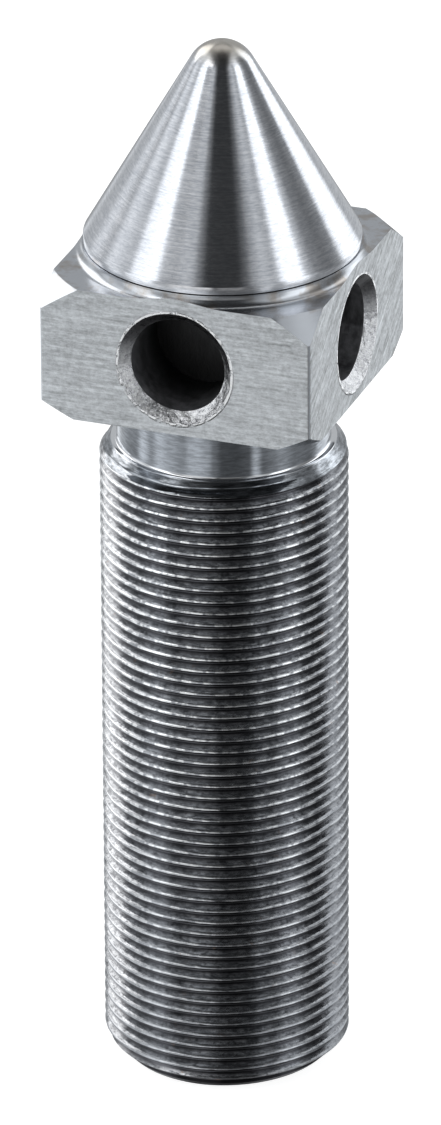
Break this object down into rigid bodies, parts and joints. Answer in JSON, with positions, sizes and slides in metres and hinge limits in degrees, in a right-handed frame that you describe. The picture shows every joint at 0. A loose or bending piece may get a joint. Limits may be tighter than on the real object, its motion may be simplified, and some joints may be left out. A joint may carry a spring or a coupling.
{
  "type": "live center",
  "caption": "60 degree live center: rotating steel point on bearings in a square capstan head with a relieved neck and a fine-threaded shank.",
  "frame": {"origin": "centre of the shank's rear face", "axes": "+Z along the axis of rotation, from the shank's rear face towards the point; X and Y square to the flats of the head"},
  "size_m": [0.0468, 0.0468, 0.1831],
  "materials": {
    "body_steel": "milled and turned bare steel, satin",
    "point_steel": "finely turned bare steel, semi-bright",
    "bearing_steel": "ground and polished",
    "dark_steel": "black oxide",
    "brass": "machined",
    "felt": "dense oiled felt",
    "rubber": "matt"
  },
  "bodies": {
    "housing": {"threaded_body": "body_steel", "felt_seal": "felt", "thrust_washer_lower": "bearing_steel", "front_bearing_outer_race": "bearing_steel", "outer_spacer": "bearing_steel", "rear_bearing_outer_race": "bearing_steel", "bearing_circlip": "dark_steel", "end_plug": "dark_steel", "plug_o_ring": "rubber", "grease_fitting": "brass"},
    "spindle": {"point_spindle": "point_steel", "thrust_washer_upper": "bearing_steel", "front_bearing_inner_race": "bearing_steel", "inner_spacer": "bearing_steel", "rear_bearing_inner_race": "bearing_steel", "lock_washer": "bearing_steel", "lock_nut": "dark_steel"},
    "thrust_cage": {"thrust_ball_cage": "brass", "thrust_ball_01": "bearing_steel", "thrust_ball_02": "bearing_steel", "thrust_ball_03": "bearing_steel", "thrust_ball_04": "bearing_steel", "thrust_ball_05": "bearing_steel", "thrust_ball_06": "bearing_steel", "thrust_ball_07": "bearing_steel", "thrust_ball_08": "bearing_steel", "thrust_ball_09": "bearing_steel", "thrust_ball_10": "bearing_steel"},
    "front_cage": {"front_bearing_cage": "brass", "front_bearing_ball_01": "bearing_steel", "front_bearing_ball_02": "bearing_steel", "front_bearing_ball_03": "bearing_steel", "front_bearing_ball_04": "bearing_steel", "front_bearing_ball_05": "bearing_steel", "front_bearing_ball_06": "bearing_steel", "front_bearing_ball_07": "bearing_steel", "front_bearing_ball_08": "bearing_steel"},
    "rear_cage": {"rear_bearing_cage": "brass", "rear_bearing_ball_01": "bearing_steel", "rear_bearing_ball_02": "bearing_steel", "rear_bearing_ball_03": "bearing_steel", "rear_bearing_ball_04": "bearing_steel", "rear_bearing_ball_05": "bearing_steel", "rear_bearing_ball_06": "bearing_steel", "rear_bearing_ball_07": "bearing_steel", "rear_bearing_ball_08": "bearing_steel"}
  },
  "joints": [
    {"name": "point_spin", "type": "hinge", "parent": "housing", "child": "spindle", "pos_m": [0, 0, 0.1482], "axis": [0, 0, 1], "continuous": true},
    {"name": "thrust_cage_spin", "type": "hinge", "parent": "housing", "child": "thrust_cage", "pos_m": [0, 0, 0.14963], "axis": [0, 0, 1], "continuous": true},
    {"name": "front_cage_spin", "type": "hinge", "parent": "housing", "child": "front_cage", "pos_m": [0, 0, 0.1102], "axis": [0, 0, 1], "continuous": true},
    {"name": "rear_cage_spin", "type": "hinge", "parent": "housing", "child": "rear_cage", "pos_m": [0, 0, 0.0642], "axis": [0, 0, 1], "continuous": true}
  ],
  "couplings": [
    {"joint": "thrust_cage_spin", "follows": "point_spin", "ratio": 0.5},
    {"joint": "front_cage_spin", "follows": "point_spin", "ratio": 0.4028},
    {"joint": "rear_cage_spin", "follows": "point_spin", "ratio": 0.4028}
  ]
}
